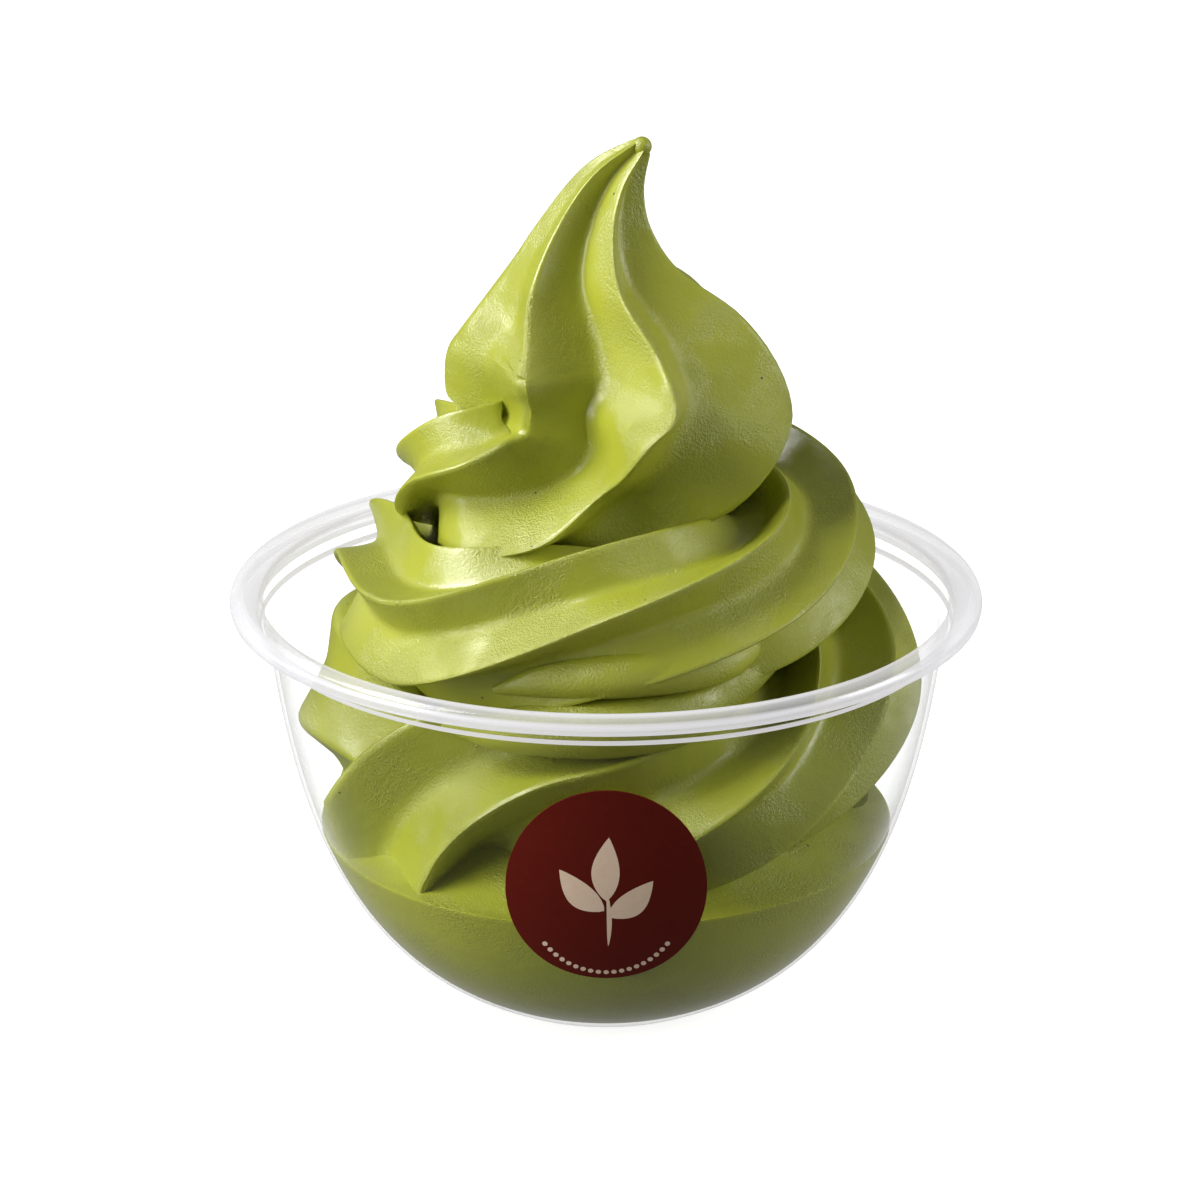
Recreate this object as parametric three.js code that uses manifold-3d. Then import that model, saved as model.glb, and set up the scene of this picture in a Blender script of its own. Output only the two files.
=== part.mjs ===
// Soft serve cup: a clear bowl with a rolled rim, filled with a green swirl that was
// piped as one lobed rope, and a round sticker on the front of the wall.
// Millimetres, +Z up, the bowl stands on z = 0, the sticker faces -Y.
import * as THREE from "three";
import Module from "manifold-3d";

// ---- bowl ----
const RIM_R = 58.5; // outside of the rolled rim
const RIM_Z = 64.1; // height of the widest point of the rim
const WALL_T = 0.7; // wall of the bowl
const FOOT_R = 21.5; // edge of the flat base
const WALL_FOOT_R = 20.8; // wall curve, lower end
const WALL_LOW = [36.9, 7.1]; // wall curve, lower handle (radius, height)
const WALL_HIGH = [48.5, 22.3]; // wall curve, upper handle
const WALL_TOP = [52.7, 58.1]; // wall curve, upper end
const LEDGE_W = 1.3; // step outwards at the top of the wall
const COLLAR_TOP = 65.2; // top of the straight collar above the step
const BEAD_R = 1.9; // roll of the rim
const LIP_DROP = 2.3; // the roll's lower lip, below the widest point
const BOWL_SIDES = 52;

// ---- sticker ----
const STICKER_W = 15.3; // half width
const STICKER_H = 18.5; // half height along the wall
const STICKER_UP = 45.0; // its middle, along the wall from the foot
const STICKER_T = 0.25;
const STICKER_LIFT = 0.12; // clear of the wall, adhesive side
const STICKER_RINGS = 4;
const STICKER_SIDES = 32;

// ---- soft serve ----
const GAP = 0.3; // between pieces that touch
const FILL_Z = 27.2; // level of the fill at the wall
const FILL_MOUND = [[41, 27.6], [38, 28.8], [34, 31.2], [28, 35], [18, 39]];
const ROPE_BACK = 0.2; // the rope stops this much short of the fill's outer face
const CORE = [[0, 25], [25, 25], [27, 45], [24, 62], [20, 76], [11, 87], [0, 92]];
const CORE_SIDES = 24;
const LOBES = 6;
const LOBE_START = 50; // degrees, first crest of the nozzle's star
const LOBE_LEAN = 0.4; // where the valley lies between two crests
const VALLEY = 0.6; // valley radius over crest radius
const CREST_FLAT = 0.975; // the crest is blunt by this much
const FACE_SAG = 0.96; // the long face of a lobe is slightly hollow
const STEER = 6; // the rope's direction is taken over this length either side
const BEND_FREE = 0.62; // share of the bend radius the inner side may use freely
const BEND_TAIL = 0.3; // further share it is squeezed into
const TURN_STEP = 5.4; // length of rope per ring in the turns
const PEAK_STEP = 2.8; // and in the peak
const LINE_CUTS = 40; // short steps of the path between two stations
const RINGS_PER_PIECE = 14; // rings joined into one solid before the union
const DEG = Math.PI / 180;

// The rope as it is laid in the bowl: turn (degrees), radius of the path, height,
// size of the star and its roll about the path (degrees).
const LAY = [
  [-90, 24.0, 33.6, 16.0, 0],
  [0, 27.0, 38.7, 17.5, -16],
  [90, 29.0, 41.5, 18.8, -11],
  [135, 29.6, 42.8, 19.0, -3],
  [180, 30.3, 45.2, 19.0, 20],
  [225, 31.0, 49.1, 18.4, -54],
  [270, 28.6, 52.3, 17.2, -34],
  [315, 33.0, 52.1, 16.3, -14],
  [360, 35.8, 52.9, 15.4, -45],
  [405, 36.2, 55.5, 14.5, -58],
  [450, 36.0, 59.1, 13.8, -45],
  [495, 35.3, 62.8, 13.2, -41],
  [540, 34.5, 65.6, 13.1, -75],
  [585, 33.4, 67.2, 13.4, -38],
  [630, 31.8, 71.5, 13.4, -38],
  [675, 30.9, 72.7, 13.2, -36],
  [720, 29.5, 74.6, 13.1, -38],
  [810, 26.4, 79.2, 12.7, -18],
  [855, 24.4, 81.6, 12.3, 0],
  [900, 21.5, 83.6, 12.4, -15],
];
// The end of the rope, where it turns up into the peak: x, y, height, size, roll.
const PEAK = [
  [-12.8, -10.6, 82.2, 15.6, -24],
  [-6.2, -10.4, 83.4, 17.6, -18],
  [-0.3, -8.0, 87.2, 19.4, -24],
  [4.6, -6.2, 93.1, 23.3, -18],
  [4.4, -4.6, 101.0, 24.2, -6],
  [2.8, -3.2, 109.0, 20.5, 0],
  [0.6, -2.2, 117.0, 14.2, 0],
  [-0.8, -1.4, 126.0, 8.6, -6],
  [1.4, -0.6, 133.4, 5.0, -9],
  [4.6, -0.4, 137.6, 2.6, -8],
];

function cubic(a, b, c, d, t) {
  const s = 1 - t;
  return s * s * s * a + 3 * s * s * t * b + 3 * s * t * t * c + t * t * t * d;
}

// The outside of the wall at t from foot (0) to step (1), moved inwards by an offset.
function wallPoint(t, inwards) {
  const r = cubic(WALL_FOOT_R, WALL_LOW[0], WALL_HIGH[0], WALL_TOP[0], t);
  const z = cubic(0, WALL_LOW[1], WALL_HIGH[1], WALL_TOP[1], t);
  const e = 1e-3;
  const r1 = cubic(WALL_FOOT_R, WALL_LOW[0], WALL_HIGH[0], WALL_TOP[0], t + e);
  const z1 = cubic(0, WALL_LOW[1], WALL_HIGH[1], WALL_TOP[1], t + e);
  const n = Math.hypot(r1 - r, z1 - z);
  return [r - (inwards * (z1 - z)) / n, z + (inwards * (r1 - r)) / n];
}

function wallLine(inwards, steps, from, to) {
  const out = [];
  for (let i = 0; i <= steps; i++) {
    out.push(wallPoint(from + ((to - from) * i) / steps, inwards));
  }
  return out;
}

// A closed body of revolution from a profile that starts and ends on the axis.
function turned(profile, sides) {
  const points = profile.map(([r, z]) => new THREE.Vector2(r, z));
  const geometry = new THREE.LatheGeometry(points, sides);
  geometry.rotateX(Math.PI / 2);
  return geometry;
}

function solidColour(hex, roughness, metalness) {
  return new THREE.MeshStandardMaterial({ color: hex, roughness, metalness });
}

// ---- helpers for the union ----
const wasm = await Module();
wasm.setup();

function welded(vertices, triangles) {
  const map = new Map();
  const index = [];
  const kept = [];
  for (const [x, y, z] of vertices) {
    const key = `${Math.round(x * 1e4)},${Math.round(y * 1e4)},${Math.round(z * 1e4)}`;
    if (!map.has(key)) {
      map.set(key, kept.length / 3);
      kept.push(x, y, z);
    }
    index.push(map.get(key));
  }
  const tris = [];
  for (const [a, b, c] of triangles) {
    const i = index[a];
    const j = index[b];
    const k = index[c];
    if (i !== j && j !== k && k !== i) tris.push(i, j, k);
  }
  return { vertProperties: new Float32Array(kept), triVerts: new Uint32Array(tris) };
}

function toSolid(vertices, triangles) {
  const { vertProperties, triVerts } = welded(vertices, triangles);
  const mesh = new wasm.Mesh({ numProp: 3, vertProperties, triVerts });
  return new wasm.Manifold(mesh);
}

function geometrySolid(geometry) {
  const p = geometry.getAttribute("position");
  const vertices = [];
  for (let i = 0; i < p.count; i++) vertices.push([p.getX(i), p.getY(i), p.getZ(i)]);
  const triangles = [];
  const g = geometry.getIndex();
  for (let i = 0; i < g.count; i += 3) triangles.push([g.getX(i), g.getX(i + 1), g.getX(i + 2)]);
  return toSolid(vertices, triangles);
}

function solidGeometry(solid) {
  const mesh = solid.getMesh();
  const geometry = new THREE.BufferGeometry();
  const position = new Float32Array(mesh.numVert * 3);
  for (let i = 0; i < mesh.numVert; i++) {
    for (let k = 0; k < 3; k++) position[3 * i + k] = mesh.vertProperties[mesh.numProp * i + k];
  }
  geometry.setAttribute("position", new THREE.BufferAttribute(position, 3));
  geometry.setIndex(new THREE.BufferAttribute(new Uint32Array(mesh.triVerts), 1));
  geometry.computeVertexNormals();
  return geometry;
}

// ---- bowl: blown clear plastic, one wall from the flat base to the rolled rim ----
function rimLine() {
  const bead = [RIM_R - BEAD_R, RIM_Z];
  const collarR = WALL_TOP[0] + LEDGE_W;
  const stepZ = WALL_TOP[1];
  const outside = [[collarR, stepZ + 0.5], [collarR, COLLAR_TOP - 1.6]];
  outside.push([RIM_R - 1.2, RIM_Z - LIP_DROP + 0.3]);
  outside.push([RIM_R - 0.9, RIM_Z - LIP_DROP]);
  outside.push([RIM_R - 0.4, RIM_Z - LIP_DROP + 0.2]);
  for (let a = -25; a <= 115; a += 20) {
    outside.push([bead[0] + BEAD_R * Math.cos(a * DEG), bead[1] + BEAD_R * Math.sin(a * DEG)]);
  }
  const inside = [
    [collarR - WALL_T + 0.4, COLLAR_TOP],
    [collarR - WALL_T, COLLAR_TOP - 0.6],
    [collarR - WALL_T, stepZ + 0.9],
    [collarR - WALL_T - 0.4, stepZ + 0.5],
  ];
  return outside.concat(inside);
}

const bowlProfile = [[0, 0], [FOOT_R, 0]];
bowlProfile.push(...wallLine(0, 11, 0.045, 1));
bowlProfile.push(...rimLine());
bowlProfile.push(...wallLine(WALL_T, 10, 1, 0.06));
bowlProfile.push([0, bowlProfile[bowlProfile.length - 1][1]]);
const bowlGeometry = solidGeometry(geometrySolid(turned(bowlProfile, BOWL_SIDES)));

// ---- soft serve: fill, core and rope joined into one solid ----
function hermite(a, b, ma, mb, t) {
  const t2 = t * t;
  const t3 = t2 * t;
  return (2 * t3 - 3 * t2 + 1) * a + (t3 - 2 * t2 + t) * ma + (3 * t2 - 2 * t3) * b + (t3 - t2) * mb;
}

// The stations every 45 degrees (read off the table where it is sparser), then the peak.
function stations() {
  const turns = [];
  for (let turn = LAY[0][0]; turn <= LAY[LAY.length - 1][0]; turn += 45) {
    let i = 0;
    while (i < LAY.length - 2 && LAY[i + 1][0] <= turn) i++;
    const a = LAY[i];
    const b = LAY[i + 1];
    const t = (turn - a[0]) / (b[0] - a[0]);
    const [r, z, size, roll] = [1, 2, 3, 4].map((k) => a[k] + (b[k] - a[k]) * t);
    turns.push([r * Math.cos(turn * DEG), r * Math.sin(turn * DEG), z, size, roll]);
  }
  return turns.concat(PEAK);
}

// A smooth line through the stations, cut into short steps.
function ropeLine(cuts) {
  const s = stations();
  const n = s.length;
  const slope = s.map((row, i) => {
    const p = s[Math.max(i - 1, 0)];
    const q = s[Math.min(i + 1, n - 1)];
    const w = i === 0 || i === n - 1 ? 1 : 2;
    return row.map((_, k) => (q[k] - p[k]) / w);
  });
  const line = [];
  for (let i = 0; i < n - 1; i++) {
    for (let c = 0; c < cuts; c++) {
      const t = c / cuts;
      line.push(s[i].map((_, k) => hermite(s[i][k], s[i + 1][k], slope[i][k], slope[i + 1][k], t)));
    }
  }
  line.push(s[n - 1]);
  return line;
}

function lengthsOf(line) {
  const out = [0];
  for (let i = 1; i < line.length; i++) {
    const d = [0, 1, 2].map((k) => line[i][k] - line[i - 1][k]);
    out.push(out[i - 1] + Math.hypot(...d));
  }
  return out;
}

function readAt(line, lengths, where) {
  const w = Math.min(Math.max(where, 0), lengths[lengths.length - 1]);
  let lo = 0;
  let hi = lengths.length - 1;
  while (hi - lo > 1) {
    const mid = (lo + hi) >> 1;
    if (lengths[mid] <= w) lo = mid;
    else hi = mid;
  }
  const t = (w - lengths[lo]) / (lengths[hi] - lengths[lo]);
  return line[lo].map((v, k) => v + (line[hi][k] - v) * t);
}

// One sixth of the star: crest, short flank, valley, long face.
function starSection() {
  const star = [];
  const unit = (deg, r) => [r * Math.cos(deg * DEG), r * Math.sin(deg * DEG)];
  const pitch = 360 / LOBES;
  for (let i = 0; i < LOBES; i++) {
    const crest = LOBE_START + i * pitch;
    const a = unit(crest, 1);
    const v = unit(crest + pitch * LOBE_LEAN, VALLEY);
    const b = unit(crest + pitch, 1);
    const on = (p, q, t, k) => [(p[0] + (q[0] - p[0]) * t) * k, (p[1] + (q[1] - p[1]) * t) * k];
    star.push(unit(crest, CREST_FLAT));
    star.push(on(a, v, 0.5, FACE_SAG));
    star.push(v);
    star.push(on(v, b, 0.5, FACE_SAG));
  }
  return star;
}

function softLimit(c) {
  if (c < BEND_FREE) return c;
  return BEND_FREE + BEND_TAIL * (1 - Math.exp(-(c - BEND_FREE) / BEND_TAIL));
}

function ropeRings() {
  const line = ropeLine(LINE_CUTS);
  const lengths = lengthsOf(line);
  const total = lengths[lengths.length - 1];
  const peakFrom = lengths[lengths.length - 1 - PEAK.length * LINE_CUTS];
  const turnRings = Math.round(peakFrom / TURN_STEP);
  const peakRings = Math.round((total - peakFrom) / PEAK_STEP);
  const star = starSection();
  const direction = (s) => {
    const p = readAt(line, lengths, s + STEER);
    const q = readAt(line, lengths, s - STEER);
    return new THREE.Vector3(p[0] - q[0], p[1] - q[1], p[2] - q[2]).normalize();
  };
  const up = new THREE.Vector3(0, 0, 1);
  const rings = [];
  for (let i = 0; i <= turnRings + peakRings; i++) {
    const share = (i - turnRings) / peakRings;
    const s = i <= turnRings ? (peakFrom * i) / turnRings : peakFrom + (total - peakFrom) * share;
    const [x, y, z, size, roll] = readAt(line, lengths, s);
    const along = direction(s);
    const turn = new THREE.Quaternion().setFromUnitVectors(up, along);
    const bend = direction(s + 1).sub(direction(s - 1)).divideScalar(2);
    bend.addScaledVector(along, -bend.dot(along));
    const sharp = bend.lengthSq() + 1e-12;
    const ring = star.map(([u, v]) => {
      const c = Math.cos(roll * DEG);
      const d = Math.sin(roll * DEG);
      const o = new THREE.Vector3(size * (u * c - v * d), size * (u * d + v * c), 0);
      o.applyQuaternion(turn);
      const k = o.dot(bend);
      o.addScaledVector(bend, (softLimit(k) - k) / sharp);
      return [x + o.x, y + o.y, z + o.z];
    });
    rings.push({ ring, centre: [x, y, z] });
  }
  return rings;
}

// A run of rings closed at both ends by fans about the path.
function ropePiece(rings) {
  const m = rings[0].ring.length;
  const vertices = [];
  for (const { ring } of rings) vertices.push(...ring);
  const first = vertices.length;
  vertices.push(rings[0].centre, rings[rings.length - 1].centre);
  const triangles = [];
  for (let i = 0; i < rings.length - 1; i++) {
    for (let j = 0; j < m; j++) {
      const a = i * m + j;
      const b = i * m + ((j + 1) % m);
      triangles.push([a, b, b + m], [a, b + m, a + m]);
    }
  }
  const last = (rings.length - 1) * m;
  for (let j = 0; j < m; j++) {
    const k = (j + 1) % m;
    triangles.push([first, k, j], [first + 1, last + j, last + k]);
  }
  return toSolid(vertices, triangles);
}

const rings = ropeRings();
let cream = null;
for (let i = 0; i < rings.length - 1; i += RINGS_PER_PIECE) {
  const piece = ropePiece(rings.slice(i, Math.min(i + RINGS_PER_PIECE + 1, rings.length)));
  cream = cream ? cream.add(piece) : piece;
}

// the rounded end of the rope at the very tip
const end = PEAK[PEAK.length - 1];
const tip = new THREE.IcosahedronGeometry(end[3] * 0.85, 1).translate(end[0], end[1], end[2]);
const tipPoints = tip.getAttribute("position");
const tipVertices = [];
const tipTriangles = [];
for (let i = 0; i < tipPoints.count; i++) {
  tipVertices.push([tipPoints.getX(i), tipPoints.getY(i), tipPoints.getZ(i)]);
  if (i % 3 === 2) tipTriangles.push([i - 2, i - 1, i]);
}
cream = cream.add(toSolid(tipVertices, tipTriangles));

// no turn of the rope passes the inside of the bowl
const roomLine = wallLine(WALL_T + GAP + ROPE_BACK, 20, 0.075, 0.985);
const room = [[0, roomLine[0][1]], ...roomLine, [RIM_R - 8, 70], [RIM_R - 8, 150], [0, 150]];
cream = cream.intersect(geometrySolid(turned(room, BOWL_SIDES)));

// the fill below the rope, and the core the turns lean on; bubbles shut inside are dropped
const inner = wallLine(WALL_T + GAP, 10, 0.075, 0.55).filter(([, z]) => z < FILL_Z - 0.8);
const fillEdge = wallLine(WALL_T + GAP, 200, 0, 1).find(([, z]) => z >= FILL_Z);
const fill = [[0, inner[0][1]], ...inner, fillEdge, ...FILL_MOUND, [0, 40]];
cream = cream.add(geometrySolid(turned(fill, BOWL_SIDES)));
cream = cream.add(geometrySolid(turned(CORE, CORE_SIDES)));
const bodies = cream.decompose().sort((a, b) => b.volume() - a.volume());
const creamGeometry = solidGeometry(bodies[0]);

// ---- sticker: one thin printed piece bent round the front of the wall ----
const wallTable = wallLine(0, 400, 0, 1);
const wallRun = lengthsOf(wallTable.map(([r, z]) => [r, 0, z]));

// The point of the wall at a run from the foot and a width from the front, moved outwards.
function onWall(across, run, outwards) {
  const [r, z] = readAt(wallTable, wallRun, run);
  const [r1, z1] = readAt(wallTable, wallRun, run + 0.5);
  const n = Math.hypot(r1 - r, z1 - z);
  const out = r + (outwards * (z1 - z)) / n;
  const turn = across / r - Math.PI / 2;
  return [out * Math.cos(turn), out * Math.sin(turn), z - (outwards * (r1 - r)) / n];
}

function stickerGeometry() {
  const vertices = [];
  const triangles = [];
  for (const lift of [STICKER_LIFT, STICKER_LIFT + STICKER_T]) {
    vertices.push(onWall(0, STICKER_UP, lift));
    for (let i = 1; i <= STICKER_RINGS; i++) {
      for (let j = 0; j < STICKER_SIDES; j++) {
        const a = (2 * Math.PI * j) / STICKER_SIDES;
        const k = i / STICKER_RINGS;
        const up = STICKER_UP + STICKER_H * k * Math.sin(a);
        vertices.push(onWall(STICKER_W * k * Math.cos(a), up, lift));
      }
    }
  }
  const skin = 1 + STICKER_RINGS * STICKER_SIDES;
  const at = (layer, i, j) => layer * skin + 1 + (i - 1) * STICKER_SIDES + (j % STICKER_SIDES);
  const face = (a, b, c, outer) => triangles.push(outer ? [a, b, c] : [a, c, b]);
  for (let j = 0; j < STICKER_SIDES; j++) {
    for (let layer = 0; layer < 2; layer++) {
      face(layer * skin, at(layer, 1, j), at(layer, 1, j + 1), layer);
      for (let i = 1; i < STICKER_RINGS; i++) {
        face(at(layer, i, j), at(layer, i + 1, j), at(layer, i + 1, j + 1), layer);
        face(at(layer, i, j), at(layer, i + 1, j + 1), at(layer, i, j + 1), layer);
      }
    }
    const e = STICKER_RINGS;
    triangles.push([at(0, e, j), at(0, e, j + 1), at(1, e, j + 1)]);
    triangles.push([at(0, e, j), at(1, e, j + 1), at(1, e, j)]);
  }
  return solidGeometry(toSolid(vertices, triangles));
}
const label = new THREE.Mesh(stickerGeometry(), solidColour(0x5a1710, 0.55, 0));
label.name = "label";

const soft_serve = new THREE.Mesh(creamGeometry, solidColour(0x9aa52c, 0.5, 0));
soft_serve.name = "soft_serve";
const cup = new THREE.Mesh(bowlGeometry, solidColour(0xe9ecef, 0.08, 0));
cup.name = "cup";

const part = new THREE.Group();
part.name = "soft_serve_cup";
part.add(cup, soft_serve, label);
export default part;
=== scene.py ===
import math

import bmesh
import bpy
from mathutils import Matrix, Vector


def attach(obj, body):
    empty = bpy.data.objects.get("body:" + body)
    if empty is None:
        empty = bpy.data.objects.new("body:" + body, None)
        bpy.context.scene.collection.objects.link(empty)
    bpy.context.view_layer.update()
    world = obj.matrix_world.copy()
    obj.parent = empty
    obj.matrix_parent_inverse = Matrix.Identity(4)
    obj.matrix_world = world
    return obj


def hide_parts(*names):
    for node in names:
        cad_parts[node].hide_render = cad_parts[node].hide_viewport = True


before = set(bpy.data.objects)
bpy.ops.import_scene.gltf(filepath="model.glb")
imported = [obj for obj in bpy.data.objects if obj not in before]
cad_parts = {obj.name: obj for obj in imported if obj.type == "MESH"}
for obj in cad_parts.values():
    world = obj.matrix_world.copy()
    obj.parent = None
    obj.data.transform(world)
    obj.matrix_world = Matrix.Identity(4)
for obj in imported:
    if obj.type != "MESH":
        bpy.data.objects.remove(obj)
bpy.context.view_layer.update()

# ---- Bowl ----
# A dessert bowl blown from clear plastic, 0.7 mm thick: flat base, deep curved wall, a small step
# outwards under the top and a rolled rim. One half profile is spun once round the axis.
mm = 0.001
rim_radius, rim_height = 58.5, 64.1
wall_thickness = 0.7
foot_radius, base_hollow = 21.5, 0.5
# the wall from foot to step, a Bezier curve of radius and height
wall_curve = [(20.8, 0.0), (36.9, 7.1), (48.5, 22.3), (52.7, 59.8)]
outside_cuts, inside_cuts = 40, 36
step_out = 1.3
collar_top = 65.2
bead = 1.9
lip_drop = 1.2
bowl_steps = 192
same_spot = 0.000002


def curve_at(t):
    """A point of the wall's outside, as radius and height, t from foot to step."""
    s = 1 - t
    weights = (s ** 3, 3 * s * s * t, 3 * s * t * t, t ** 3)
    return tuple(sum(w * p[k] for w, p in zip(weights, wall_curve)) for k in (0, 1))


def wall_at(t, inwards):
    """A point of the wall, t from foot to step, moved inwards from its outside."""
    r, z = curve_at(t)
    r1, z1 = curve_at(t + 0.001)
    length = math.hypot(r1 - r, z1 - z)
    return r - inwards * (z1 - z) / length, z + inwards * (r1 - r) / length


def spun(name, profile, steps):
    """A closed body of revolution from a half profile that starts and ends on the axis."""
    shape = bmesh.new()
    corners = [shape.verts.new((r * mm, 0, z * mm)) for r, z in profile]
    line = [shape.edges.new(pair) for pair in zip(corners, corners[1:])]
    bmesh.ops.spin(shape, geom=corners + line, axis=(0, 0, 1), cent=(0, 0, 0),
                   steps=steps, angle=2 * math.pi, use_merge=True)
    bmesh.ops.remove_doubles(shape, verts=shape.verts, dist=same_spot)
    bmesh.ops.recalc_face_normals(shape, faces=shape.faces)
    return finished(name, shape)


def finished(name, shape, crease=40):
    """The modelled shape as an object at the origin, smooth but for its creases."""
    for face in shape.faces:
        face.smooth = True
    for edge in shape.edges:
        if len(edge.link_faces) == 2 and edge.calc_face_angle(0) > math.radians(crease):
            edge.smooth = False
    mesh = bpy.data.meshes.new(name)
    shape.to_mesh(mesh)
    shape.free()
    piece = bpy.data.objects.new(name, mesh)
    bpy.context.scene.collection.objects.link(piece)
    return piece


def arc(centre, radius, start, stop, count):
    """Points of a round edge between two angles in degrees."""
    angles = [math.radians(start + (stop - start) * i / count) for i in range(count + 1)]
    return [(centre[0] + radius * math.cos(a), centre[1] + radius * math.sin(a)) for a in angles]


step_radius, step_height = curve_at(1)
collar = step_radius + step_out
collar_inside = collar - wall_thickness
lip_height = rim_height - lip_drop
# the hollow base and the ring it stands on
half = [(0, base_hollow), (foot_radius - 2.6, base_hollow), (foot_radius - 1.9, 0.05)]
half += [(foot_radius - 1.4, 0), (foot_radius - 0.4, 0)]
half += [wall_at(0.02 + 0.98 * i / outside_cuts, 0) for i in range(outside_cuts + 1)]
# the step, the collar over it, the lip under the bead and the bead
half += [(collar - 0.35, step_height + 0.12), (collar - 0.08, step_height + 0.35)]
half += [(collar, step_height + 1.0), (collar, lip_height - 0.6), (collar + 0.5, lip_height + 0.2)]
half += [(rim_radius - 1.7, lip_height + 0.35)]
half += arc((rim_radius - 0.95, lip_height + 0.3), 0.3, 200, 340, 6)
half += arc((rim_radius - bead, rim_height), bead, -30, 118, 16)
# down the inside
half += [(collar_inside + 0.9, collar_top), (collar_inside + 0.3, collar_top - 0.35)]
half += [(collar_inside, collar_top - 1.1), (collar_inside, step_height + 1.2)]
half += [(collar_inside - 0.1, step_height + 0.8), (collar_inside - 0.45, step_height + 0.5)]
half += [wall_at(1 - 0.94 * i / inside_cuts, wall_thickness) for i in range(inside_cuts + 1)]
half += [(0, half[-1][1])]
bowl = spun("cup_clear_bowl", half, bowl_steps)

# share of glowing white at heights through the rolled rim, bottom to top: bright lines, which are painted
# highlights, on a milky band painted as a glow
rim_glow_bands = [(0.0, 0.8), (0.08, 0.75), (0.16, 0.4), (0.45, 0.5),
             (0.55, 0.92), (0.64, 0.85), (0.75, 0.4), (1.0, 0.6)]
clear_tint = (0.985, 0.988, 0.985, 1)
# the plastic's white is this grey made to glow: painted light standing in for the white room reflected in it
room_grey, painted_glow = (0.35, 0.35, 0.36, 1), 0.55
mirror_power, mirror_front, mirror_edge = 5.0, 0.015, 0.2


def blank(name):
    """A material with nothing but its output."""
    material = bpy.data.materials.new(name)
    material.use_nodes = True
    tree = material.node_tree
    tree.nodes.clear()
    return material, tree, tree.nodes.new("ShaderNodeOutputMaterial")


def node(tree, kind, values=None, **settings):
    """A shader node with its settings and the values of its sockets."""
    made = tree.nodes.new("ShaderNode" + kind)
    for key, value in settings.items():
        setattr(made, key, value)
    for key, value in (values or {}).items():
        made.inputs[key].default_value = value
    return made


def clear_plastic(name, front, edge, edge_power, tint, bands=()):
    """Clear plastic with painted reflection: a glowing white stands in for the white room reflected in it
    and its haze, more where it is seen along its surface, or in bands.
    """
    material, tree, out = blank(name)
    link = tree.links.new
    clear = node(tree, "BsdfTransparent", {"Color": clear_tint})
    # room: the glowing white, a painted reflection of the room
    room = node(tree, "BsdfPrincipled", {
        "Base Color": room_grey, "Roughness": 0.25, "Emission Color": tint, "Emission Strength": painted_glow})
    sheen = node(tree, "BsdfGlossy", {"Color": (1, 1, 1, 1), "Roughness": 0.06})
    facing = node(tree, "LayerWeight", {"Blend": 0.5})
    slope = node(tree, "Math", {1: edge_power}, operation="POWER")
    share = node(tree, "MapRange", {"To Min": front, "To Max": edge})
    slant = node(tree, "Math", {1: mirror_power}, operation="POWER")
    mirror = node(tree, "MapRange", {"To Min": mirror_front, "To Max": mirror_edge})
    body = node(tree, "MixShader")
    skin = node(tree, "MixShader")
    link(facing.outputs["Facing"], slope.inputs[0])
    link(facing.outputs["Facing"], slant.inputs[0])
    link(slant.outputs[0], mirror.inputs["Value"])
    link(slope.outputs[0], share.inputs["Value"])
    link(share.outputs[0], body.inputs[0])
    if bands:
        level = node(tree, "SeparateXYZ")
        up = node(tree, "MapRange", {"From Min": lip_height * mm, "From Max": (rim_height + bead) * mm})
        ramp = node(tree, "ValToRGB")
        stops = ramp.color_ramp.elements
        while len(stops) < len(bands):
            stops.new(0.5)
        for stop, (position, value) in zip(stops, bands):
            stop.position, stop.color = position, (value, value, value, 1)
        most = node(tree, "Math", operation="MAXIMUM")
        link(node(tree, "TexCoord").outputs["Object"], level.inputs[0])
        link(level.outputs["Z"], up.inputs["Value"])
        link(up.outputs[0], ramp.inputs[0])
        link(ramp.outputs[0], most.inputs[0])
        link(share.outputs[0], most.inputs[1])
        link(most.outputs[0], body.inputs[0])
    link(clear.outputs[0], body.inputs[1])
    link(room.outputs[0], body.inputs[2])
    link(mirror.outputs[0], skin.inputs[0])
    link(body.outputs[0], skin.inputs[1])
    link(sheen.outputs[0], skin.inputs[2])
    link(skin.outputs[0], out.inputs[0])
    material.cycles.emission_sampling = "NONE"
    return material


# the wall glows white towards its edges and the rim in bands: painted reflection of the room
bowl.data.materials.append(clear_plastic("clear wall", 0.0, 0.75, 7.0, (1.0, 0.99, 1.0, 1)))
bowl.data.materials.append(clear_plastic("rolled rim", 0.35, 0.8, 2.5, (0.94, 0.92, 0.95, 1), rim_glow_bands))
# the step line is a glowing white band: a painted highlight
bowl.data.materials.append(clear_plastic("painted step highlight", 0.85, 0.95, 1.5, (1.0, 0.97, 1.0, 1)))
# faces of the rim take its glowing bands, those of the step the painted step highlight
for face in bowl.data.polygons:
    r, z = math.hypot(face.center.x, face.center.y) / mm, face.center.z / mm
    if z > lip_height - 0.2 and (r > collar + 0.1 or z > rim_height):
        face.material_index = 1
    elif step_height + 0.1 < z < step_height + 1.1 and r > collar - 0.5:
        face.material_index = 2
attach(bowl, "root")
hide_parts("cup")

# ---- Soft serve ----
# Green soft serve pressed through a six-pointed nozzle: one lobed rope rises out of a level fill and
# is laid in about two turns, its end pulled up into a bent peak, over a softer rope laid under it.
fill_height = 27.2
fill_into_wall = 0.25
mound = [(41, 27.6), (38, 28.8), (34, 31.2), (28, 35), (18, 39), (0, 40)]
heart = [(0, 25), (25, 25), (27, 45), (24, 62), (20, 76), (11, 87), (0, 92)]
heart_steps = 48
lobes = 6
first_crest = 50
crest_round = 0.085
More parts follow.
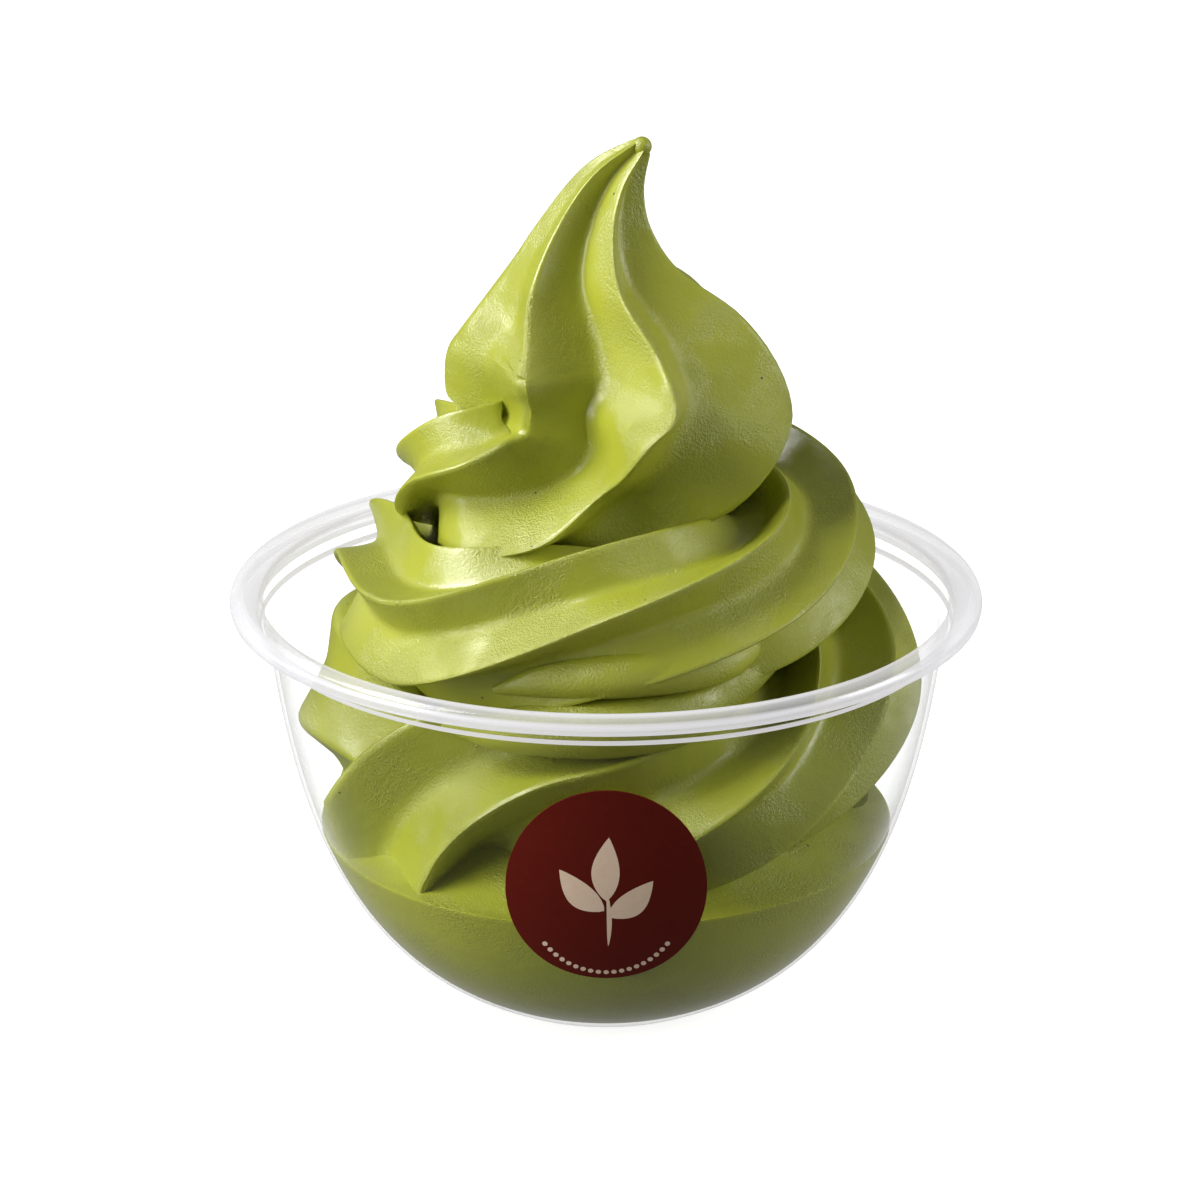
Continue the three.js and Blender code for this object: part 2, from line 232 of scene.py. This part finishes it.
# where each valley lies between its two crests, and its radius over theirs
turn_valleys = [(0.42, 0.54)] * lobes
soft_valleys = [(0.42, 0.78)] * lobes
peak_valleys = [(0.4, 0.6), (0.45, 0.65), (0.45, 0.72), (0.38, 0.36), (0.36, 0.56), (0.4, 0.6)]
# a bend squeezes its inner side past this share of the bend's radius, and by no more than the tail
bend_free, bend_tail = 0.62, 0.3
ring_step = 1.3
rings_per_length = 48
path_cuts, sag_cuts = 40, 12
wall_gap = 0.5
# one row per station: turn in degrees, radius of the path, height, size, roll in degrees
laid = [
    (315, 31.0, 43.5, 15.5, -14), (360, 34.8, 50.5, 15.4, -45),
    (405, 36.2, 55.5, 14.5, -58), (450, 36.0, 59.1, 13.8, -45), (495, 35.3, 62.8, 13.2, -41),
    (540, 31.0, 66.0, 12.8, -75), (585, 33.4, 67.2, 13.4, -38), (630, 31.8, 71.5, 13.4, -38),
    (675, 30.9, 72.7, 13.2, -36), (720, 29.5, 74.6, 13.1, -38), (810, 26.4, 79.2, 12.7, -18),
    (855, 24.4, 81.6, 12.3, 0), (900, 21.5, 83.6, 12.4, -15),
]
# where it rises out of the fill: x, y, height, size, roll, and the way it heads there (x, y, z)
start = [
    (-25.0, -9.0, 20.0, 24.0, 30, 0.00, 0.00, 1.00),
    (-24.0, -10.0, 30.0, 24.0, 30, 0.15, -0.10, 0.98),
    (-18.0, -15.5, 38.5, 21.5, 24, 0.65, -0.40, 0.65),
    (-7.0, -22.5, 42.0, 18.5, 12, 0.97, -0.20, 0.15),
    (7.0, -27.0, 41.5, 17.0, 0, 1.00, 0.10, 0.02),
]
# the rope laid under it on the back and left, and where it ends inside the start
underlay = [
    (0, 27.0, 38.7, 17.5, -16), (90, 29.0, 43.0, 18.8, -11), (135, 30.0, 46.0, 19.0, -3),
    (180, 31.0, 47.0, 18.0, 20),
]
underlay_end = [(-26.0, -10.0, 40.0, 15.0, 20, 0.30, -0.60, -0.75)]
# the peak: x, y, height, size, roll, and the way it heads there (x, y, z)
peak = [
    (-20.7, -8.3, 86.4, 12.0, -20, 0.59, -0.81, 0.11),
    (-14.6, -11.7, 84.8, 14.9, -21, 0.88, -0.45, 0.22),
    (-7.4, -12.1, 84.5, 17.0, -22, 0.84, -0.15, 0.50),
    (-1.4, -10.5, 87.3, 15.8, -23, 0.60, 0.03, 0.76),
    (2.1, -8.9, 91.0, 22.2, -20, 0.40, 0.12, 0.92),
    (2.2, -6.8, 97.0, 28.0, -11, 0.17, 0.12, 0.93),
    (2.8, -5.0, 103.5, 26.9, -3, 0.10, 0.02, 0.96),
    (0.6, -4.1, 109.9, 21.3, 1, -0.10, -0.05, 1.01),
    (-2.1, -3.0, 117.1, 14.5, -2, -0.08, 0.02, 1.00),
    (-1.2, -1.4, 124.9, 8.9, -5, 0.10, 0.06, 0.97),
    (1.5, -0.4, 131.6, 5.1, -8, 0.38, -0.03, 0.89),
    (5.4, -0.1, 136.4, 1.8, -8, 0.62, -0.07, 0.80),
]
# the cross-section turns from the turns' into the peak's between these stations, counted from its first
peak_opens = (-2, 3)
tip_round = 0.85
# where the peak bends up it sags over its own laid end: three lines of the surface, each a crest
# (whole number) or the valley after it, with rows of mm back from the tip, x, y, height
sag = {
    2.0: [(15.6, -10.1, 0.8, 124.7), (20.8, -14.4, 0.1, 118.4), (26, -18.7, -0.4, 112.6),
          (31, -22.2, -0.8, 107.9), (36.5, -24.2, 0.0, 104.6), (41.5, -24.8, 0.0, 100.8),
          (47, -24.3, -1.0, 96.9), (52, -21.3, -3.0, 95.5), (57, -18.6, -4.4, 95.4),
          (62.5, -18.2, -6.9, 96.2), (67.5, -17.4, -8.7, 97.8)],
    2.5: [(26, -14.2, -7.1, 112.8), (31, -16.3, -9.1, 108.1), (36.5, -17.7, -9.7, 104.8),
          (41.5, -17.4, -9.0, 101.7), (47, -15.8, -8.4, 98.4), (52, -15.3, -8.5, 96.5),
          (57, -15.7, -10.1, 95.8), (62.5, -16.1, -12.2, 95.3)],
    3.0: [(31, -12.3, -20.0, 107.4), (36.5, -12.4, -22.0, 105.8), (41.5, -11.9, -21.8, 103.9),
          (47, -11.3, -20.6, 101.6), (52, -11.6, -18.9, 99.0), (57, -12.4, -17.6, 96.2),
          (62.5, -15.2, -20.4, 95.8)],
}
sag_fade = 5.0
# squeezed folds under the second turn: x, y, height and radius along each
folds = [
    [(-16.8, -35.0, 61.6, 0.6), (-10.2, -37.6, 63.9, 2.4), (-2.5, -39.4, 65.2, 3.3), (5.1, -39.4, 65.8, 3.5),
     (13.3, -37.2, 65.8, 3.2), (19.5, -32.5, 65.4, 2.4), (24.0, -26.0, 66.0, 0.6)],
    [(-24.6, -28.8, 53.4, 0.8), (-16.5, -34.6, 55.0, 3.2), (-7.1, -38.0, 56.4, 4.4), (2.1, -38.4, 57.0, 4.8),
     (11.3, -36.0, 57.8, 4.5), (18.5, -30.5, 59.8, 3.4), (25.0, -24.0, 62.4, 2.0), (30.0, -18.0, 65.0, 0.6)],
]
fold_flat = 0.75
fold_cuts, fold_sides = 8, 24
# points of a sliver that the union leaves loose
sliver_points = 100


def path_stations(table):
    """Every 45 degrees of the turns, read off the table where it is sparser."""
    rows = []
    for turn in range(table[0][0], table[-1][0] + 1, 45):
        i = max(k for k in range(len(table) - 1) if table[k][0] <= turn)
        share = (turn - table[i][0]) / (table[i + 1][0] - table[i][0])
        radius, height, size, roll = (
            table[i][k] + (table[i + 1][k] - table[i][k]) * share for k in (1, 2, 3, 4))
        a = math.radians(turn)
        rows.append((radius * math.cos(a), radius * math.sin(a), height, size, roll))
    turns = []
    for i, row in enumerate(rows):
        ahead = Vector(rows[min(i + 1, len(rows) - 1)][:3]) - Vector(rows[max(i - 1, 0)][:3])
        if i in (0, len(rows) - 1):  # the ends head straight round the bowl
            ahead = Vector((-row[1], row[0], 0))
        turns.append(row + tuple(ahead.normalized()))
    return turns


def smooth_path(rows, cuts):
    """A flowing line through rows of numbers, each step between two rows cut in so many."""
    last = len(rows) - 1
    line = []
    for i in range(last):
        before, a, b, after = rows[max(i - 1, 0)], rows[i], rows[i + 1], rows[min(i + 2, last)]
        for c in range(cuts):
            t = c / cuts
            row = []
            for k in range(len(a)):
                out_a = (b[k] - before[k]) / (2 if i else 1)
                in_b = (after[k] - a[k]) / (2 if i + 1 < last else 1)
                row.append((2 * t ** 3 - 3 * t ** 2 + 1) * a[k] + (t ** 3 - 2 * t ** 2 + t) * out_a
                           + (3 * t ** 2 - 2 * t ** 3) * b[k] + (t ** 3 - t ** 2) * in_b)
            line.append(row)
    return line + [list(rows[last])]


def rope_path(rows):
    """The flowing line through the rows and the length run at each of its steps."""
    line = smooth_path(rows, path_cuts)
    length = [0.0]
    for p, q in zip(line, line[1:]):
        length.append(length[-1] + math.dist(p[:3], q[:3]))
    return line, length


stations = start + path_stations(laid) + peak
path, run = rope_path(stations)
under_path, under_run = rope_path(path_stations(underlay) + underlay_end)


def along(path, run, where):
    """The path's row at a length from its start."""
    where = min(max(where, 0), run[-1])
    low, high = 0, len(run) - 1
    while high - low > 1:
        middle = (low + high) // 2
        if run[middle] <= where:
            low = middle
        else:
            high = middle
    share = (where - run[low]) / (run[high] - run[low])
    return [a + (b - a) * share for a, b in zip(path[low], path[high])]


def nozzle_star(valleys):
    """The nozzle's opening as a loop of (x, y): blunt crests, rounded valleys, hollow flanks."""
    shape = bmesh.new()
    ring = bmesh.ops.create_circle(shape, segments=2 * lobes, radius=1, cap_ends=False)["verts"]
    for i, corner in enumerate(ring):
        lean, depth = valleys[i // 2] if i % 2 else (0, 1)
        turn = math.radians(first_crest + (i // 2 + lean) * 360 / lobes)
        corner.co = (depth * math.cos(turn), depth * math.sin(turn), 0)
    bmesh.ops.bevel(shape, geom=shape.verts[:], affect="VERTICES", offset=crest_round, offset_type="OFFSET",
                    segments=4, profile=0.5, material=-1)
    flanks = [e for e in shape.edges if e.calc_length() > 0.2]
    bmesh.ops.subdivide_edges(shape, edges=flanks, cuts=6)
    crest = Vector((math.cos(math.radians(first_crest)), math.sin(math.radians(first_crest)), 0))
    start = max(shape.verts, key=lambda v: v.co.dot(crest))
    order, here, came = [], start, None
    while True:
        order.append((here.co.x, here.co.y))
        step = next(e for e in here.link_edges if e is not came)
        here, came = step.other_vert(here), step
        if here is start:
            break
    shape.free()
    area = sum(a[0] * b[1] - b[0] * a[1] for a, b in zip(order, order[1:] + order[:1]))
    return order if area > 0 else order[:1] + order[:0:-1]


def soft_limit(c):
    """Left alone up to the free share of a bend, then eased off so that it never reaches the centre."""
    if c < bend_free:
        return c
    return bend_free + bend_tail * (1 - math.exp(-(c - bend_free) / bend_tail))


inner_wall = [wall_at(i / 200, wall_thickness + wall_gap) for i in range(201)]


def room_at(z):
    """Radius that the soft serve may fill at a height inside the bowl."""
    if z >= inner_wall[-1][1]:
        return inner_wall[-1][0]
    return next(r for r, height in inner_wall if height >= z)


turn_star, soft_star, peak_star = (nozzle_star(v) for v in (turn_valleys, soft_valleys, peak_valleys))
peak_start, peak_full = (run[(len(stations) - len(peak) + i) * path_cuts] for i in peak_opens)
sag_lines = {line: smooth_path(rows, sag_cuts) for line, rows in sag.items()}


def sagged(ring, back_from_tip):
    """The cross-section with its named lines moved to where the sag puts them."""
    per_lobe = len(ring) // lobes
    moves = {min(sag) - 0.5: Vector((0, 0, 0)), max(sag) + 0.5: Vector((0, 0, 0))}
    for line, rows in sag_lines.items():
        moves[line] = Vector((0, 0, 0))
        if rows[0][0] < back_from_tip < rows[-1][0]:
            i = max(k for k in range(len(rows) - 1) if rows[k][0] <= back_from_tip)
            share = (back_from_tip - rows[i][0]) / (rows[i + 1][0] - rows[i][0])
            target = Vector([a + (b - a) * share for a, b in zip(rows[i][1:], rows[i + 1][1:])])
            fade = min((back_from_tip - rows[0][0]) / sag_fade, (rows[-1][0] - back_from_tip) / sag_fade, 1)
            moves[line] = (target - ring[round(line * per_lobe)]) * fade * fade * (3 - 2 * fade)
    lines = sorted(moves)
    for a, b in zip(lines, lines[1:]):
        for i in range(round(a * per_lobe), round(b * per_lobe)):
            ring[i] += moves[a].lerp(moves[b], (i / per_lobe - a) / (b - a))
    return ring


def ring_at(path, run, where, is_top):
    """The rope's cross-section at a length along its path, squeezed on the inner side of a bend."""
    opened = min(max((where - peak_start) / (peak_full - peak_start), 0), 1)
    opened = opened * opened * (3 - 2 * opened)
    star = soft_star
    if is_top:
        star = [(a[0] + (b[0] - a[0]) * opened, a[1] + (b[1] - a[1]) * opened)
                for a, b in zip(turn_star, peak_star)]
    before, here, after = (along(path, run, where + step) for step in (-0.5, 0, 0.5))
    x, y, z, size, roll = here[:5]
    ahead = Vector(here[5:]).normalized()
    turn = Vector((0, 0, 1)).rotation_difference(ahead)
    moved = Vector(after[:3]) - Vector(before[:3])
    bend = Vector(after[5:]).normalized() - Vector(before[5:]).normalized()
    bend /= max(moved.dot(ahead), 0.3 * moved.length)
    bend -= ahead * bend.dot(ahead)
    sharpness = bend.length_squared + 1e-12
    c, s = math.cos(math.radians(roll)), math.sin(math.radians(roll))
    ring, spots = [], []
    for u, v in star:
        spoke = turn @ Vector((size * (u * c - v * s), size * (u * s + v * c), 0))
        k = spoke.dot(bend)
        spoke += bend * ((soft_limit(k) - k) / sharpness)
        spots.append(Vector((x, y, z)) + spoke)
    if is_top:
        spots = sagged(spots, run[-1] - where)
    for spot in spots:
        reach = math.hypot(spot.x, spot.y)
        room = room_at(spot.z)
        if reach > room:
            spot.x *= room / reach
            spot.y *= room / reach
        ring.append(spot * mm)
    return ring, Vector((x, y, z)) * mm


def fold_rings(rows):
    """The cross-sections of a fold, round but flattened outwards, each with its centre."""
    line = smooth_path(rows, fold_cuts)
    turns = [2 * math.pi * t / fold_sides for t in range(fold_sides)]
    rings = []
    for i, (x, y, z, radius) in enumerate(line):
        centre = Vector((x, y, z))
        ahead = Vector(line[min(i + 1, len(line) - 1)][:3]) - Vector(line[max(i - 1, 0)][:3])
        outwards = Vector((x, y, 0)).normalized()
        upwards = ahead.cross(outwards).normalized()
        spokes = [outwards * (math.cos(a) * fold_flat) + upwards * math.sin(a) for a in turns]
        rings.append(([(centre + spoke * radius) * mm for spoke in spokes], centre * mm))
    return rings


def rope_length(name, rings):
    """One closed length of rope, drawn out ring by ring along the path."""
    shape = bmesh.new()
    loop = [shape.verts.new(spot) for spot in rings[0][0]]
    edges = [shape.edges.new((a, b)) for a, b in zip(loop, loop[1:] + loop[:1])]
    caps = [(shape.verts.new(rings[0][1]), loop)]
    for ring, centre in rings[1:]:
        grown = bmesh.ops.extrude_edge_only(shape, edges=edges)["geom"]
        fresh = {g for g in grown if isinstance(g, bmesh.types.BMVert)}
        edges = [g for g in grown if isinstance(g, bmesh.types.BMEdge) and set(g.verts) <= fresh]
        loop = [next(e.other_vert(v) for e in v.link_edges if e.other_vert(v) in fresh) for v in loop]
        for corner, spot in zip(loop, ring):
            corner.co = spot
    caps.append((shape.verts.new(rings[-1][1]), loop))
    for centre, edge_loop in caps:
        for a, b in zip(edge_loop, edge_loop[1:] + edge_loop[:1]):
            shape.faces.new((centre, a, b))
    bmesh.ops.recalc_face_normals(shape, faces=shape.faces)
    return finished(name, shape)


lengths = []
for line, length, is_top in ((under_path, under_run, False), (path, run, True)):
    count = round(length[-1] / ring_step)
    rings = [ring_at(line, length, length[-1] * i / count, is_top) for i in range(count + 1)]
    lengths += [rope_length("rope_%d_%d" % (is_top, i), rings[i:i + rings_per_length + 1])
                for i in range(0, count, rings_per_length)]
lengths += [rope_length("fold_%d" % i, fold_rings(rows)) for i, rows in enumerate(folds)]
tip_shape = bmesh.new()
bmesh.ops.create_icosphere(tip_shape, subdivisions=3, radius=peak[-1][3] * tip_round * mm,
                           matrix=Matrix.Translation(Vector(peak[-1][:3]) * mm))
lengths.append(finished("rope_tip", tip_shape))
lengths.append(spun("heart", heart, heart_steps))

# the fill reaches just into the wall, so no air shows between them
fill_line = [wall_at(i / 120, wall_thickness - fill_into_wall) for i in range(4, 121)]
fill_line = [p for p in fill_line if p[1] < fill_height]
fill_top = [(fill_line[-1][0], fill_height)] + mound
fill = spun("fill", [(0, fill_line[0][1])] + fill_line + fill_top, bowl_steps)

poured = bpy.data.collections.new("poured")
for piece in lengths:
    bpy.context.scene.collection.objects.unlink(piece)
    poured.objects.link(piece)
join = fill.modifiers.new("join", "BOOLEAN")
join.operation = "UNION"
join.operand_type = "COLLECTION"
join.collection = poured
join.solver = "MANIFOLD"
bpy.context.view_layer.update()
joined = bpy.data.meshes.new_from_object(fill.evaluated_get(bpy.context.evaluated_depsgraph_get()))
for piece in lengths + [fill]:
    bpy.data.objects.remove(piece)
bpy.data.collections.remove(poured)
cream = bmesh.new()
cream.from_mesh(joined)
bpy.data.meshes.remove(joined)
bmesh.ops.dissolve_degenerate(cream, edges=cream.edges, dist=same_spot)
unseen, stray = set(cream.verts), []
while unseen:
    island = [unseen.pop()]
    for v in island:
        near = {e.other_vert(v) for e in v.link_edges} & unseen
        unseen -= near
        island += near
    stray += island if len(island) < sliver_points else []
bmesh.ops.delete(cream, geom=stray, context="VERTS")
swirl = finished("soft_serve_swirl", cream, crease=50)

deep_green, light_green = (0.348, 0.378, 0.028, 1), (0.410, 0.438, 0.036, 1)
speck_green, speck_reach, speck_share = (0.07, 0.075, 0.012, 1), 0.055, 0.62


def green_cream():
    """Soft serve: slightly see-through green, damp sheen, patches of ice grain, a few dark tea specks."""
    material, tree, out = blank("green soft serve")
    link = tree.links.new
    place = node(tree, "TexCoord").outputs["Object"]
    skin = node(tree, "BsdfPrincipled", {
        "Roughness": 0.32, "IOR": 1.45, "Specular IOR Level": 0.9,
        "Subsurface Weight": 0.1, "Subsurface Radius": (0.0016, 0.0018, 0.0006), "Subsurface Scale": 1.0})
    drift = node(tree, "TexNoise", {"Scale": 45.0, "Detail": 3.0})
    shade = node(tree, "ValToRGB")
    for stop, position, colour in zip(shade.color_ramp.elements, (0.35, 0.68), (deep_green, light_green)):
        stop.position, stop.color = position, colour
    specks = node(tree, "TexVoronoi", {"Scale": 260.0})
    rare = node(tree, "TexNoise", {"Scale": 120.0, "Detail": 1.0})
    dot = node(tree, "Math", {1: speck_reach}, operation="LESS_THAN")
    some = node(tree, "Math", {1: speck_share}, operation="GREATER_THAN")
    both = node(tree, "Math", operation="MULTIPLY")
    tint = node(tree, "MixRGB", {"Color2": speck_green})
    link(drift.outputs[0], shade.inputs[0])
    link(specks.outputs["Distance"], dot.inputs[0])
    link(rare.outputs[0], some.inputs[0])
    link(dot.outputs[0], both.inputs[0])
    link(some.outputs[0], both.inputs[1])
    link(both.outputs[0], tint.inputs[0])
    link(shade.outputs[0], tint.inputs["Color1"])
    link(tint.outputs[0], skin.inputs["Base Color"])
    grain = node(tree, "TexNoise", {"Scale": 2300.0, "Detail": 3.0, "Roughness": 0.7})
    patches = node(tree, "TexNoise", {"Scale": 85.0, "Detail": 2.0})
    frost = node(tree, "MapRange", {"From Min": 0.42, "From Max": 0.6, "To Min": 0.2, "To Max": 1.0})
    ripple = node(tree, "TexNoise", {"Scale": 260.0, "Detail": 3.0})
    low = node(tree, "Bump", {"Strength": 0.25, "Distance": 0.0006})
    fine = node(tree, "Bump", {"Distance": 0.00035})
    for texture in (drift, specks, rare, grain, patches, ripple):
        link(place, texture.inputs["Vector"])
    link(ripple.outputs[0], low.inputs["Height"])
    link(grain.outputs[0], fine.inputs["Height"])
    link(low.outputs[0], fine.inputs["Normal"])
    link(patches.outputs[0], frost.inputs["Value"])
    link(frost.outputs[0], fine.inputs["Strength"])
    link(fine.outputs[0], skin.inputs["Normal"])
    link(skin.outputs[0], out.inputs[0])
    return material


swirl.data.materials.clear()
swirl.data.materials.append(green_cream())
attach(swirl, "root")
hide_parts("soft_serve")

# ---- Sticker ----
# A round maroon paper sticker pressed on the front of the wall, with a pale printed sprig of three
# leaves over a row of dots. The paper is 0.25 mm thick and follows the wall both ways.
sticker_half_width, sticker_half_height = 15.3, 18.5
sticker_middle = 45.0
sticker_lift, paper = 0.12, 0.25
sticker_rings, sticker_sides = 14, 120
print_lift = sticker_lift + paper + 0.02
dots, dot_gap, dot_radius = 19, 5.6, 0.42
dots_across, dots_up = 12.0, 14.0
wall_line = [wall_at(i / 400, 0) for i in range(401)]
wall_run = [0.0]
for p, q in zip(wall_line, wall_line[1:]):
    wall_run.append(wall_run[-1] + math.dist(p, q))


def on_wall(across, up, outwards):
    """A point of the bowl's front, across and up from the sticker's middle in mm."""
    want = sticker_middle + up
    i = max(k for k in range(len(wall_run) - 1) if wall_run[k] <= want)
    share = (want - wall_run[i]) / (wall_run[i + 1] - wall_run[i])
    (r0, z0), (r1, z1) = wall_line[i], wall_line[i + 1]
    length = math.hypot(r1 - r0, z1 - z0)
    r, z = r0 + (r1 - r0) * share, z0 + (z1 - z0) * share
    reach = r + outwards * (z1 - z0) / length
    turn = across / r - math.pi / 2
    return Vector((reach * math.cos(turn), reach * math.sin(turn), z - outwards * (r1 - r0) / length)) * mm


def disc(shape, rings, sides):
    """A flat round sheet of radius 1 made of rings round its middle."""
    middle = shape.verts.new((0, 0, 0))
    start = bmesh.ops.create_circle(shape, segments=sides, radius=1 / rings, cap_ends=False)["verts"]
    edges = list({e for v in start for e in v.link_edges})
    for e in edges:
        shape.faces.new((middle,) + tuple(e.verts))
    for i in range(2, rings + 1):
        grown = bmesh.ops.extrude_edge_only(shape, edges=edges)["geom"]
        fresh = [g for g in grown if isinstance(g, bmesh.types.BMVert)]
        edges = [g for g in grown if isinstance(g, bmesh.types.BMEdge) and all(v in fresh for v in g.verts)]
        bmesh.ops.scale(shape, verts=fresh, vec=(i / (i - 1), i / (i - 1), 1))


sheet = bmesh.new()
disc(sheet, sticker_rings, sticker_sides)
bmesh.ops.recalc_face_normals(sheet, faces=sheet.faces)
for v in sheet.verts:
    v.co = on_wall(v.co.x * sticker_half_width, v.co.y * sticker_half_height, sticker_lift + paper)
bmesh.ops.recalc_face_normals(sheet, faces=sheet.faces)
if sheet.faces[:][0].normal.y > 0:
    bmesh.ops.reverse_faces(sheet, faces=sheet.faces)
bmesh.ops.solidify(sheet, geom=sheet.faces[:], thickness=paper * mm)
bmesh.ops.recalc_face_normals(sheet, faces=sheet.faces)
sticker = finished("sticker_paper", sheet)


def printed_paper(name, low_colour, high_colour, roughness):
    """Satin label paper: fine fibre grain and a slight mottle in the ink."""
    material, tree, out = blank(name)
    link = tree.links.new
    place = node(tree, "TexCoord").outputs["Object"]
    ink = node(tree, "BsdfPrincipled", {"Roughness": roughness, "IOR": 1.45, "Specular IOR Level": 0.15})
    mottle = node(tree, "TexNoise", {"Scale": 900.0, "Detail": 4.0})
    shade = node(tree, "ValToRGB")
    for stop, position, colour in zip(shade.color_ramp.elements, (0.3, 0.7), (low_colour, high_colour)):
        stop.position, stop.color = position, colour
    fibre = node(tree, "TexNoise", {"Scale": 3000.0, "Detail": 2.0})
    relief = node(tree, "Bump", {"Strength": 0.15, "Distance": 0.00003})
    link(place, mottle.inputs["Vector"])
    link(place, fibre.inputs["Vector"])
    link(mottle.outputs[0], shade.inputs[0])
    link(shade.outputs[0], ink.inputs["Base Color"])
    link(fibre.outputs[0], relief.inputs["Height"])
    link(relief.outputs[0], ink.inputs["Normal"])
    link(ink.outputs[0], out.inputs[0])
    return material


maroon_paper = printed_paper("maroon paper", (0.128, 0.0085, 0.0036, 1), (0.142, 0.0100, 0.0044, 1), 0.55)
sticker.data.materials.append(maroon_paper)
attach(sticker, "root")
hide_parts("label")

print_shape = bmesh.new()


def printed_leaf(base, tip, width, bow):
    """One leaf of the print between two points, widest below its middle, bowed to one side."""
    cells = bmesh.ops.create_grid(print_shape, x_segments=8, y_segments=20, size=1)["verts"]
    reach = Vector(tip) - Vector(base)
    side = Vector((-reach.y, reach.x)).normalized()
    for v in cells:
        t = (v.co.y + 1) / 2
        swell = math.sin(math.pi * t ** 0.85) ** 0.9 if 0 < t < 1 else 0.0
        spot = Vector(base) + reach * t + side * (v.co.x * width / 2 * swell + bow * math.sin(math.pi * t))
        v.co = (spot.x, spot.y, 0)


printed_leaf((0.0, -1.2), (0.4, 8.6), 4.2, 0.3)
printed_leaf((-0.3, -2.8), (-7.0, 3.6), 4.0, 0.7)
printed_leaf((0.3, -3.8), (7.0, 1.8), 4.0, -0.7)
printed_leaf((0.3, -9.0), (0.0, 1.0), 0.75, -0.3)  # the stem
for i in range(dots):
    turn = math.radians(-90 + (i - dots // 2) * dot_gap)
    spot = bmesh.ops.create_circle(print_shape, segments=16, radius=dot_radius, cap_ends=True,
                                   cap_tris=True)["verts"]
    bmesh.ops.translate(print_shape, verts=spot,
                        vec=(dots_across * math.cos(turn), dots_up * math.sin(turn), 0))
bmesh.ops.remove_doubles(print_shape, verts=print_shape.verts, dist=0.001)
bmesh.ops.dissolve_degenerate(print_shape, edges=print_shape.edges, dist=0.0005)
for v in print_shape.verts:
    v.co = on_wall(v.co.x, v.co.y * sticker_half_height / sticker_half_width, print_lift)
print_shape.normal_update()
flip = [f for f in print_shape.faces if f.normal.y > 0]
bmesh.ops.reverse_faces(print_shape, faces=flip)
sprig = finished("sticker_print", print_shape)
sprig.data.materials.append(printed_paper("cream ink", (0.97, 0.72, 0.52, 1), (1.0, 0.78, 0.58, 1), 0.6))
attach(sprig, "root")

# ---- Studio ----
# A plain white floor, soft lights above and low on the left and one on the right, a fourth that adds
# sheen alone, and the camera above the rim on the sticker's side.
floor_size, floor_gap = 4, 0.0002
lights_aim = Vector((0, 0, 0.07))
elevation = math.radians(19.98)
distance = 0.90417
picture_half = 600
pixels_per_metre = 6423.0
rim_pixel = (606.0, 595.0)
floor_shape = bmesh.new()
bmesh.ops.create_grid(floor_shape, x_segments=2, y_segments=2, size=floor_size)
bmesh.ops.translate(floor_shape, verts=floor_shape.verts, vec=(0, 0, -floor_gap))
floor = finished("floor", floor_shape)
card, tree, out = blank("white floor")
paint = node(tree, "BsdfPrincipled", {
    "Base Color": (0.55, 0.55, 0.55, 1), "Roughness": 0.8,
    "Emission Color": (1, 1, 1, 1), "Emission Strength": 0.85})
tree.links.new(paint.outputs[0], out.inputs[0])
card.cycles.emission_sampling = "NONE"
floor.data.materials.append(card)
floor.visible_diffuse = False
floor.visible_glossy = False

studio = bpy.data.worlds.new("studio")
studio.use_nodes = True
sky = studio.node_tree
toward = node(sky, "TexCoord").outputs["Generated"]
height = node(sky, "SeparateXYZ")
fade = node(sky, "MapRange", {"From Min": -0.2, "From Max": 0.6, "To Min": 0.18, "To Max": 0.21})
sky.links.new(toward, height.inputs[0])
sky.links.new(height.outputs["Z"], fade.inputs["Value"])
sky.links.new(fade.outputs[0], sky.nodes["Background"].inputs["Strength"])
sky.nodes["Background"].inputs["Color"].default_value = (1, 1, 1, 1)
bpy.context.scene.world = studio
bpy.context.scene.view_settings.view_transform = "Standard"


def soft_light(name, place, size, power, sheen_only=False):
    """A square soft light turned to the middle of the object."""
    lamp = bpy.data.lights.new(name, "AREA")
    lamp.size = size
    lamp.energy = power
    holder = bpy.data.objects.new(name, lamp)
    holder.location = place
    holder.rotation_euler = (lights_aim - Vector(place)).to_track_quat("-Z", "Y").to_euler()
    holder.visible_diffuse = not sheen_only
    bpy.context.scene.collection.objects.link(holder)


soft_light("key_light", (-0.64, -0.21, 0.74), 0.42, 8.0)
soft_light("low_light", (-0.85, -0.38, 0.27), 0.40, 5.2)
soft_light("side_light", (0.89, -0.05, 0.39), 0.45, 4.5)
soft_light("sheen_light", (-0.63, 0.09, 0.78), 0.35, 8.0, sheen_only=True)

right = Vector((1, 0, 0))
up = Vector((0, math.sin(elevation), math.cos(elevation)))
back = Vector((0, -math.cos(elevation), math.sin(elevation)))
aim = Vector((0, 0, rim_height * mm)) + right * ((picture_half - rim_pixel[0]) / pixels_per_metre)
aim += up * ((rim_pixel[1] - picture_half) / pixels_per_metre)
lens = bpy.data.cameras.new("camera")
lens.angle = 2 * math.atan(picture_half / (pixels_per_metre * distance))
camera = bpy.data.objects.new("camera", lens)
bpy.context.scene.collection.objects.link(camera)
place = aim + back * distance
camera.matrix_world = Matrix((
    (right.x, up.x, back.x, place.x), (right.y, up.y, back.y, place.y),
    (right.z, up.z, back.z, place.z), (0, 0, 0, 1)))
bpy.context.scene.camera = camera

bpy.context.view_layer.update()
